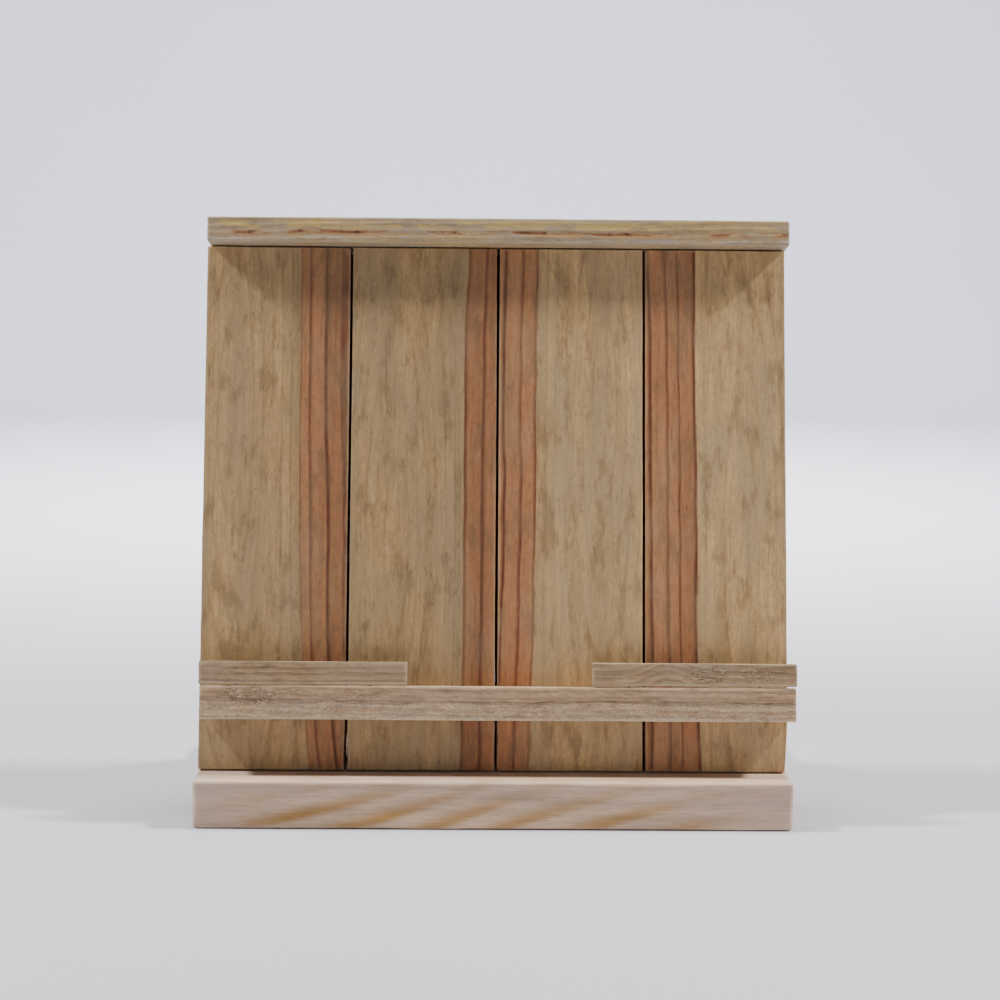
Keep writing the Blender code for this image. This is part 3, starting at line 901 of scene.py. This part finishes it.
def brad_mesh(length, radius):
    """A headed brad with a small punched dimple in its head."""
    shank = 0.62
    head = [(0, -0.25), (0.3, -0.22), (0.42, -0.04), (0.6, 0.0), (0.9, -0.06), (0.99, -0.25), (0.97, -0.6),
            (shank, -1.1)]
    profile = [(r * radius, z * radius) for r, z in head]
    profile += [(shank * radius, -0.5 * length), (0.98 * shank * radius, 2 * MM - length),
                (0.35 * shank * radius, 0.3 * MM - length), (0, TIP_GAP - length)]
    return turned_mesh("brad", profile, BRAD_STEPS)


def place_fasteners(nodes, maker, suffix, material):
    """Sets one piece for every fastener. Fasteners of the same length share a mesh."""
    meshes = {}
    for order, node in enumerate(nodes):
        matrix, length, radius = driven_place(node)
        key = round(length / MM)
        if key not in meshes:
            meshes[key] = maker(length, radius)
        spin = Matrix.Rotation(order * SPIN_STEP, 4, "Z")
        piece = add_object(node + suffix, meshes[key], matrix @ spin)
        hand_over(piece, node, material)


# ---- What can be changed ----

WOOD_VALUES = {                 # each property's label, description and common value
    "ground": ("Early wood", "Pale wood between the growth rings", (0.47, 0.35, 0.24)),
    "late": ("Late wood", "Dark line that ends each growth ring", (0.30, 0.17, 0.09)),
    "heart": ("Heartwood", "Reddish wood near the middle of the log", (0.36, 0.19, 0.10)),
    "silver": ("Silvered", "Wood that weather has turned grey", (0.36, 0.31, 0.25)),
    "stain": ("Stain", "Dirt and old finish left in the pores", (0.13, 0.09, 0.06)),
    "raw": ("Raw", "Fresh fibres on rubbed edges and torn patches", (0.66, 0.53, 0.38)),
    "late_start": ("Ring start", "Share of a ring at which its dark line starts to gather", 0.45),
    "late_peak": ("Ring peak", "Share of a ring at which its dark line is darkest", 0.90),
    "contrast": ("Ring strength", "Strength of the rings in the pale wood", 0.6),
    "heart_contrast": ("Heart rings", "Strength of the rings in the heartwood", 0.9),
    "streaks": ("Streaks", "Strength of the streaks along the grain", 0.5),
    "silvering": ("Silvering", "Share of grey over the board", 0.4),
    "staining": ("Staining", "Share of stain over the board", 0.25),
    "specks": ("Specks", "Strength of small dark specks and pores", 0.3),
    "fuzz": ("Fuzz", "Strength of the mottling that rough fibres give", 0.35),
    "wear": ("Edge wear", "How pale the rubbed edges are", 0.5),
    "roughness": ("Roughness", "Roughness of the bare wood", 0.66),
    "bump": ("Bump", "Depth of the fibres that the mesh is too coarse for", 0.35 * MM),
    "easing": ("Edge radius", "Largest rounding of the board's edges", 1.2 * MM),
    "relief": ("Raised grain", "Height of the late wood above the early wood", 0.12 * MM),
    "waviness": ("Waviness", "Slow waves that the plane left", 0.15 * MM),
    "roughness_depth": ("Unevenness", "Small dents all over the faces", 0.10 * MM),
}
WOOD_LENGTHS = ("bump", "easing", "relief", "waviness", "roughness_depth")


def wood_values(**own):
    """The properties of one kind of board: common values with its own in their place."""
    properties = {}
    for key, (label, description, common) in WOOD_VALUES.items():
        value = own.get(key, common)
        if isinstance(value, tuple):
            properties[key] = colour_property(label, description, value)
        elif key in WOOD_LENGTHS:
            properties[key] = bpy.props.FloatProperty(name=label, description=description, default=value,
                                                      min=0.0, precision=5, subtype="DISTANCE",
                                                      unit="LENGTH")
        else:
            properties[key] = bpy.props.FloatProperty(name=label, description=description, default=value,
                                                      min=0.0, max=3.0, subtype="FACTOR")
    return properties


def colour_property(label, description, colour):
    return bpy.props.FloatVectorProperty(name=label, description=description, subtype="COLOR", size=4,
                                         min=0.0, max=1.0, default=(*colour, 1.0))


def power_property(label, description, watts):
    return bpy.props.FloatProperty(name=label, description=description, default=watts, min=0.0,
                                   subtype="POWER", unit="POWER")


def metal_values(bright, tarnish, roughness):
    return {
        "bright": colour_property("Bright", "Clean metal", bright),
        "tarnish": colour_property("Tarnish", "Dulled metal", tarnish),
        "roughness": bpy.props.FloatProperty(name="Roughness", description="Roughness of the clean metal",
                                             default=roughness, min=0.0, max=1.0, subtype="FACTOR"),
    }


class BaseLook(bpy.types.PropertyGroup):
    """The base board: planed, pale pine with golden rings."""

    __annotations__ = wood_values(
        ground=(0.64, 0.455, 0.32), late=(0.43, 0.235, 0.070), heart=(0.62, 0.44, 0.28),
        silver=(0.56, 0.42, 0.34), stain=(0.40, 0.22, 0.10), raw=(0.72, 0.54, 0.38), late_start=0.10,
        late_peak=0.66, contrast=0.09, heart_contrast=1.35, streaks=1.5, silvering=0.5, staining=0.10,
        specks=0.06, fuzz=0.16, wear=0.3, easing=2.4 * MM,
        relief=0.03 * MM, waviness=0.08 * MM, roughness_depth=0.05 * MM, bump=0.15 * MM)


class PlankLook(bpy.types.PropertyGroup):
    """The back planks: weathered olive pine with red heartwood."""

    __annotations__ = {**wood_values(
        ground=(0.43, 0.275, 0.120), late=(0.105, 0.027, 0.010), heart=(0.33, 0.142, 0.058),
        silver=(0.35, 0.25, 0.135), stain=(0.16, 0.098, 0.045), raw=(0.50, 0.37, 0.21), late_start=0.62,
        late_peak=0.86, contrast=0.20, heart_contrast=1.0, streaks=1.25, silvering=0.55, staining=0.5,
        specks=0.25, fuzz=0.7, wear=0.25, easing=1.3 * MM),
        "tones": bpy.props.FloatVectorProperty(
            name="Tones", description="Brightness of each plank, from the left", size=4, min=0.0, max=2.0,
            default=(0.98, 0.90, 1.12, 1.14))}


class CapLook(bpy.types.PropertyGroup):
    """The cap: yellowish pine with a line of orange dashes."""

    __annotations__ = wood_values(
        ground=(0.43, 0.30, 0.145), late=(0.28, 0.155, 0.06), silver=(0.325, 0.255, 0.17),
        stain=(0.17, 0.11, 0.06), raw=(0.56, 0.43, 0.26), contrast=0.35, streaks=1.5, silvering=0.85,
        staining=0.40, specks=0.25, fuzz=0.9, wear=0.35, easing=1.6 * MM)


class LedgeLook(bpy.types.PropertyGroup):
    """The ledge: sawn wood with torn grain."""

    __annotations__ = wood_values(
        ground=(0.50, 0.345, 0.205), late=(0.24, 0.135, 0.07), heart=(0.40, 0.262, 0.148),
        silver=(0.40, 0.30, 0.205), stain=(0.15, 0.095, 0.055), raw=(0.64, 0.48, 0.32), contrast=0.30,
        heart_contrast=0.35, streaks=1.3, silvering=0.5, staining=0.40, specks=0.3, fuzz=1.0, wear=0.4,
        relief=0.08 * MM, roughness_depth=0.16 * MM, waviness=0.2 * MM)


class LipLook(bpy.types.PropertyGroup):
    """The lips: thin strips, browner than the ledge."""

    __annotations__ = wood_values(
        ground=(0.335, 0.222, 0.118), late=(0.165, 0.093, 0.043), silver=(0.34, 0.255, 0.17),
        stain=(0.12, 0.075, 0.04), raw=(0.54, 0.40, 0.25), contrast=0.55, streaks=1.4, silvering=0.45,
        staining=0.35, specks=0.25, fuzz=0.7, wear=0.45, easing=0.9 * MM, relief=0.10 * MM,
        roughness_depth=0.12 * MM)


class BattenLook(bpy.types.PropertyGroup):
    """The rear battens and gussets: plain pine."""

    __annotations__ = wood_values(
        ground=(0.52, 0.39, 0.25), late=(0.36, 0.21, 0.11), contrast=0.7, silvering=0.4, staining=0.2)


class ZincLook(bpy.types.PropertyGroup):
    """The screws' plating."""

    __annotations__ = metal_values((0.80, 0.66, 0.34), (0.42, 0.34, 0.22), 0.30)


class SteelLook(bpy.types.PropertyGroup):
    """The brads' steel."""

    __annotations__ = metal_values((0.55, 0.54, 0.52), (0.26, 0.22, 0.18), 0.36)


class StudioLook(bpy.types.PropertyGroup):
    """The floor, the lights and the camera."""

    floor: colour_property("Floor", "Colour of the floor and the cove behind it", (0.58, 0.58, 0.64))
    sky: colour_property("Sky", "Colour of the light from above and all round", (0.86, 0.92, 1.0))
    sky_strength: bpy.props.FloatProperty(name="Sky strength", default=0.16, min=0.0,
                                          description="Strength of the light all round")
    key: power_property("Key light", "Power of the light on the right", 54.0)
    fill: power_property("Fill light", "Power of the light on the left", 48.0)
    top: power_property("Top light", "Power of the light overhead", 15.0)
    backdrop: power_property("Backdrop light", "Power of the light behind", 150.0)
    lens: bpy.props.FloatProperty(name="Lens", description="The camera's focal length",
                                  default=64.8, min=1.0, subtype="DISTANCE_CAMERA", unit="CAMERA")


LOOKS = {"base": BaseLook, "plank": PlankLook, "cap": CapLook, "ledge": LedgeLook, "lip": LipLook,
         "batten": BattenLook, "zinc": ZincLook, "steel": SteelLook, "studio": StudioLook}


class StandLooks(bpy.types.PropertyGroup):
    """Everything about the stand's looks that can be changed."""

    __annotations__ = {name: bpy.props.PointerProperty(type=kind, name=name.capitalize(),
                                                       description=kind.__doc__)
                       for name, kind in LOOKS.items()}


# ---- The pieces ----

class STAND_OT_base(bpy.types.Operator):
    """Builds the base board"""

    bl_idname = "tablet_stand.base"
    bl_label = "Base board"

    def execute(self, context):
        look = context.scene.tablet_stand.base
        grain = base_grain(11, 11.5, 0.38, 130)
        chips = [((-145.6, -73.9, 8), 2.6), ((101, -73.9, 13.2), 2.4), ((-60, -73.7, 13.1), 2.0)]
        make_board("base_board", LEVEL, look, grain, (2.6, 1.4, 1.0),
                   wood_material("base_pine_wood", look), chips=chips,
                   holes=fasteners_named("base_screw", "gusset_screw"))
        return {"FINISHED"}


class STAND_OT_planks(bpy.types.Operator):
    """Builds the four back planks"""

    bl_idname = "tablet_stand.planks"
    bl_label = "Back planks"

    def execute(self, context):
        look = context.scene.tablet_stand.plank
        heartwood = {           # seed, side, lines, bend and softness, as plank_grain takes them
            "back_plank_1": (21, -1, (6.4, 14.9, 19.5), (9, 60), 1.6),
            "back_plank_2": (32, -1, (3.3, 11.6, 20.4), (-3, 200), 0.1),
            "back_plank_3": (43, 1, (4.1, 12.4, 19.4), (4, 160), 0.3),
            "back_plank_4": (54, 1, (7.2, 16.0, 21.8, 30.1), (-3, 160), 0.1),
        }
        for number, node in enumerate(PLANKS, start=1):
            seed, side, lines, bend, soft = heartwood[node]
            grain = plank_grain(seed, Place(node, UPRIGHT).size, side, lines, bend, soft)
            material = wood_material(f"plank_{number}_wood", look, tone=look.tones[number - 1])
            make_board(node, UPRIGHT, look, grain, (2.6, 0.9, 1.2), material,
                       reshape=shaped_plank(number))
        return {"FINISHED"}


class STAND_OT_cap(bpy.types.Operator):
    """Builds the cap board"""

    bl_idname = "tablet_stand.cap"
    bl_label = "Cap board"

    def execute(self, context):
        look = context.scene.tablet_stand.cap
        grain = rail_grain(65, 3.6, (-46, 20), slope=0.012)
        lines = [               # a yellow band, an orange one, dark dashes in it and a grey one
            (2.6 * MM, 3.4 * MM, 0.50, (0.50, 0.35, 0.12), (0.46, 0.30, 0.10)),
            (-2.2 * MM, 2.8 * MM, 0.47, (0.44, 0.25, 0.095), (0.38, 0.20, 0.08)),
            (-1.3 * MM, 1.4 * MM, 0.50, (0.20, 0.08, 0.038), (0.06, 0.025, 0.018)),
            (-4.6 * MM, 2.2 * MM, 0.51, (0.38, 0.31, 0.235), (0.38, 0.31, 0.235)),
        ]
        make_board("cap_board", RAIL, look, grain, (2.4, 0.7, 1.2),
                   wood_material("cap_pine_wood", look, lines), holes=fasteners_named("cap_screw"))
        return {"FINISHED"}


def sawn_band(p):
    """The ledge's lower part, rough from the saw."""
    border = 1.2 + 0.7 * noise(p * MM, (60, 1, 1), 77) + 0.4 * noise(p * MM, (210, 1, 1), 78)
    return 1 - ramp(p[:, 1] - border, -0.25, 0.25)


def planed_band(p):
    """The ledge's upper part, browner and smoother."""
    return 1 - sawn_band(p)


class STAND_OT_ledge(bpy.types.Operator):
    """Builds the ledge board"""

    bl_idname = "tablet_stand.ledge"
    bl_label = "Ledge board"

    def execute(self, context):
        look = context.scene.tablet_stand.ledge
        grain = rail_grain(76, 2.6, (38, 30), slope=-0.006, heart=planed_band, sawn=sawn_band,
                           tears=[(-121, 4.0, 17, 7, 1.1), (-99, 6.0, 8, 3.5, 0.8),
                                  (-70, 3.5, 18, 4.5, 0.6)])
        lines = [(1.3 * MM, 0.5 * MM, 0.46, (0.25, 0.15, 0.085), (0.10, 0.06, 0.035)),
                 (-3.6 * MM, 0.6 * MM, 0.56, (0.42, 0.21, 0.09), (0.24, 0.12, 0.05))]
        make_board("ledge_board", RAIL, look, grain, (1.8, 0.5, 1.0),
                   wood_material("ledge_sawn_wood", look, lines), holes=fasteners_named("ledge_screw"))
        return {"FINISHED"}


class STAND_OT_lips(bpy.types.Operator):
    """Builds the two lips in front of the tablet"""

    bl_idname = "tablet_stand.lips"
    bl_label = "Lips"

    def execute(self, context):
        look = context.scene.tablet_stand.lip
        grains = {
            "lip_left": rail_grain(87, 2.6, (32, 24), slope=0.004, tears=[(-34, -5, 10, 2.5, 0.5)]),
            "lip_right": rail_grain(98, 2.6, (-24, 20), arch=(-13, 12, 6.5),
                                    tears=[(6, 0, 12, 6, 1.0), (31, 0, 13, 5.5, 0.9)]),
        }
        chips = {
            "lip_left": [((51.6, 1.4, 4.2), 2.2), ((-51.4, 6.8, 4.1), 2.2)],
            "lip_right": [((-50.8, 5.2, 4.1), 1.9), ((50.6, 6.9, 4.0), 1.8)],
        }
        cracks = {
            "lip_left": [(0.3 * MM, 0.4 * MM, 0.42, (0.22, 0.13, 0.075), (0.09, 0.055, 0.03))],
            "lip_right": [],
        }
        for node in LIPS:
            make_board(node, RAIL, look, grains[node], (1.2, 0.45, 0.6),
                       wood_material(node + "_wood", look, cracks[node]), chips=chips[node],
                       holes=[name for name in BRADS if brad_is_in(name, node)])
        return {"FINISHED"}


def brad_is_in(brad, lip):
    """Whether a brad stands within a lip's length."""
    low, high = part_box(lip)
    centre = sum(corner[0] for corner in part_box(brad)) / 2
    return low[0] < centre < high[0]


class STAND_OT_battens(bpy.types.Operator):
    """Builds the two battens behind the planks"""

    bl_idname = "tablet_stand.battens"
    bl_label = "Rear battens"

    def execute(self, context):
        look = context.scene.tablet_stand.batten
        material = wood_material("batten_pine_wood", look)
        grains = {
            "upper_rear_batten": rail_grain(109, 3.6, (-70, 26), slope=0.02, sway=1.4,
                                            knots=[(46, 6, 6.5)]),
            "lower_rear_batten": rail_grain(120, 4.2, (60, 22), slope=-0.015, sway=1.4,
                                            knots=[(-62, -7, 5.0)]),
        }
        held = {
            "upper_rear_batten": [f"batten_screw_{number}" for number in range(5, 9)],
            "lower_rear_batten": [f"batten_screw_{number}" for number in range(1, 5)],
        }
        for node in BATTENS:
            make_board(node, RAIL, look, grains[node], (2.6, 1.2, 1.2), material,
                       holes=held[node])
        return {"FINISHED"}


class STAND_OT_gussets(bpy.types.Operator):
    """Builds the two gussets that hold the panel up"""

    bl_idname = "tablet_stand.gussets"
    bl_label = "Gussets"

    def execute(self, context):
        look = context.scene.tablet_stand.batten
        material = wood_material("gusset_pine_wood", look)
        for seed, node in zip((131, 142), GUSSETS):
            place = Place(node, BRACE)
            mesh = frame["nodes"][node].data.copy()
            mesh.transform(place.matrix.inverted())
            piece = add_object(node + "_wood", mesh, place.matrix)
            cells = piece.modifiers.new("cells", "REMESH")
            cells.mode = "VOXEL"
            cells.voxel_size = GUSSET_CELL
            mesh = applied(piece)
            grain = rail_grain(seed, 3.8, (-52, 30), slope=0.03, sway=1.2)
            roughen(mesh, grain, look)
            grain.write(mesh, place.size)
            settle(piece)
            hand_over(piece, node, material)
        return {"FINISHED"}


def roughen(mesh, grain, look):
    """Sinks a finished mesh's surface a little, as surface_depth says."""
    points = read_vectors(mesh, "co")
    outward = read_vectors(mesh, "normal")
    depth = surface_depth(points, outward, grain.read(points, outward), look, grain.seed)
    write_points(mesh, points - outward * depth[:, None])


class STAND_OT_screws(bpy.types.Operator):
    """Sets the wood screws"""

    bl_idname = "tablet_stand.screws"
    bl_label = "Screws"

    def execute(self, context):
        material = metal_material("screw_zinc_plating", context.scene.tablet_stand.zinc)
        place_fasteners(SCREWS, screw_mesh, "_zinc", material)
        return {"FINISHED"}


class STAND_OT_brads(bpy.types.Operator):
    """Sets the brads that hold the lips"""

    bl_idname = "tablet_stand.brads"
    bl_label = "Brads"

    def execute(self, context):
        material = metal_material("brad_bright_steel", context.scene.tablet_stand.steel)
        place_fasteners(BRADS, brad_mesh, "_steel", material)
        return {"FINISHED"}


# ---- Studio ----

FLOOR_REACH = 2.4               # flat part of the floor, from the middle out
COVE_REACH = 3.6
COVE_RISE = 1.5
FLOOR_STEPS = 128               # round the floor
COVE_STEPS = 24                 # up the cove
LIGHTS = {                      # azimuth and elevation in degrees, distance, size and colour
    "key": (88, 45, 2.0, 0.22, (1.0, 0.97, 0.93)),
    "fill": (-88, 45, 2.0, 0.22, (1.0, 0.98, 0.96)),
    "top": (180, 80, 1.6, 0.30, (0.97, 0.98, 1.0)),
    "backdrop": (180, 55, 1.6, 1.6, (0.95, 0.97, 1.0)),
}
LIT_HEIGHT = 0.12               # what the lights face, above the floor
BACKDROP_TILT = math.radians(62)
EYE = Vector((-0.0072, -0.8535, 0.2455))   # from the middle of the planks' front foot edge
EYE_PITCH = math.radians(-7.44)
EYE_YAW = math.radians(-0.63)
EYE_ROLL = math.radians(0.48)


def cove_mesh():
    """A round floor that curves up all round."""
    rows = [(FLOOR_REACH * share, 0.0) for share in (0.03, 0.1, 0.25, 0.5, 0.75, 1.0)]
    for step in range(1, COVE_STEPS + 1):
        angle = math.pi / 2 * step / COVE_STEPS
        rows.append((FLOOR_REACH + (COVE_REACH - FLOOR_REACH) * math.sin(angle),
                     COVE_RISE * (1 - math.cos(angle))))
    turns = [math.tau * step / FLOOR_STEPS for step in range(FLOOR_STEPS)]
    rings = [[(reach * math.cos(turn), reach * math.sin(turn), rise) for turn in turns]
             for reach, rise in rows]
    mesh = lofted("floor", rings, closed_ends=1)
    mesh.shade_smooth()
    return mesh


def floor_material(colour):
    """Matt paint with faint clouds in it."""
    material, n = new_material("floor_paint")
    place = n.add("ShaderNodeTexCoord").outputs["Object"]
    cloud = n.noise(place, (3, 3, 3), 3.0)
    paint = n.mix(n.times(cloud, 0.06), colour, (1.0, 1.0, 1.0, 1.0))
    shader = n.add("ShaderNodeBsdfPrincipled", {"Base Color": paint, "Roughness": 0.9,
                                               "Specular IOR Level": 0.1})
    n.add("ShaderNodeOutputMaterial", {"Surface": shader.outputs[0]})
    return material


def add_light(name, power):
    """A soft round light that faces the stand. Azimuth 0 is in front, and 90 on the right."""
    azimuth, elevation, distance, size, colour = LIGHTS[name]
    azimuth = math.radians(azimuth)
    elevation = math.radians(elevation)
    away = Vector((math.sin(azimuth) * math.cos(elevation), -math.cos(azimuth) * math.cos(elevation),
                   math.sin(elevation)))
    data = bpy.data.lights.new(name, "AREA")
    data.shape = "DISK"
    data.size = size
    data.energy = power
    data.color = colour
    light = bpy.data.objects.new(name, data)
    bpy.context.scene.collection.objects.link(light)
    light.location = UPWARD * LIT_HEIGHT + away * distance
    light.rotation_euler = away.to_track_quat("Z", "Y").to_euler()
    return light


class STAND_OT_studio(bpy.types.Operator):
    """Sets up the floor, the lights and the camera"""

    bl_idname = "tablet_stand.studio"
    bl_label = "Studio"

    def execute(self, context):
        look = context.scene.tablet_stand.studio
        floor = add_object("floor", cove_mesh(), Matrix.Translation((0, 0, CAD_BOUNDS[0][2])))
        floor.data.materials.append(floor_material(look.floor))
        world = bpy.data.worlds.new("sky")
        context.scene.world = world
        world.use_nodes = True
        background = world.node_tree.nodes["Background"]
        background.inputs["Color"].default_value = look.sky
        background.inputs["Strength"].default_value = look.sky_strength
        lights = {name: add_light(name, getattr(look, name)) for name in LIGHTS}
        lights["backdrop"].rotation_euler = (BACKDROP_TILT, 0, 0)
        self.add_camera(context, look)
        return {"FINISHED"}

    def add_camera(self, context, look):
        level = Vector((-math.sin(EYE_YAW), math.cos(EYE_YAW), 0))
        ahead = level * math.cos(EYE_PITCH) + UPWARD * math.sin(EYE_PITCH)
        right = ahead.cross(UPWARD).normalized()
        up = right.cross(ahead)
        tipped_right = math.cos(EYE_ROLL) * right + math.sin(EYE_ROLL) * up
        tipped_up = math.cos(EYE_ROLL) * up - math.sin(EYE_ROLL) * right
        data = bpy.data.cameras.new("eye")
        data.sensor_width = 36.0
        data.lens = look.lens
        data.clip_start = 0.01
        data.clip_end = 50.0
        camera = bpy.data.objects.new("eye", data)
        context.scene.collection.objects.link(camera)
        rotation = Matrix((tipped_right, tipped_up, -ahead)).transposed()
        foot = Vector((0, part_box(PLANKS[0])[0][1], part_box("base_board")[1][2]))
        camera.matrix_world = Matrix.Translation(foot + EYE) @ rotation.to_4x4()
        context.scene.camera = camera


# ---- The panel and the run ----

PIECE_OPERATORS = (STAND_OT_base, STAND_OT_planks, STAND_OT_cap, STAND_OT_ledge, STAND_OT_lips,
                   STAND_OT_battens, STAND_OT_gussets, STAND_OT_screws, STAND_OT_brads, STAND_OT_studio)


class STAND_PT_looks(bpy.types.Panel):
    """Lists the stand's pieces and their colours"""

    bl_idname = "STAND_PT_looks"
    bl_label = "Tablet stand"
    bl_space_type = "VIEW_3D"
    bl_region_type = "UI"
    bl_category = "Tablet stand"

    def draw(self, context):
        looks = context.scene.tablet_stand
        for operator in PIECE_OPERATORS:
            self.layout.operator(operator.bl_idname)
        for name in StandLooks.__annotations__:
            box = self.layout.box()
            box.label(text=name.capitalize())
            look = getattr(looks, name)
            for key in type(look).__annotations__:
                box.prop(look, key)


CLASSES = (*LOOKS.values(), StandLooks, *PIECE_OPERATORS, STAND_PT_looks)


def register():
    for kind in CLASSES:
        bpy.utils.register_class(kind)
    bpy.types.Scene.tablet_stand = bpy.props.PointerProperty(type=StandLooks)


def unregister():
    del bpy.types.Scene.tablet_stand
    for kind in reversed(CLASSES):
        bpy.utils.unregister_class(kind)


def main():
    register()
    for operator in PIECE_OPERATORS:
        group, name = operator.bl_idname.split(".")
        getattr(getattr(bpy.ops, group), name)()


if __name__ == "__main__":
    main()
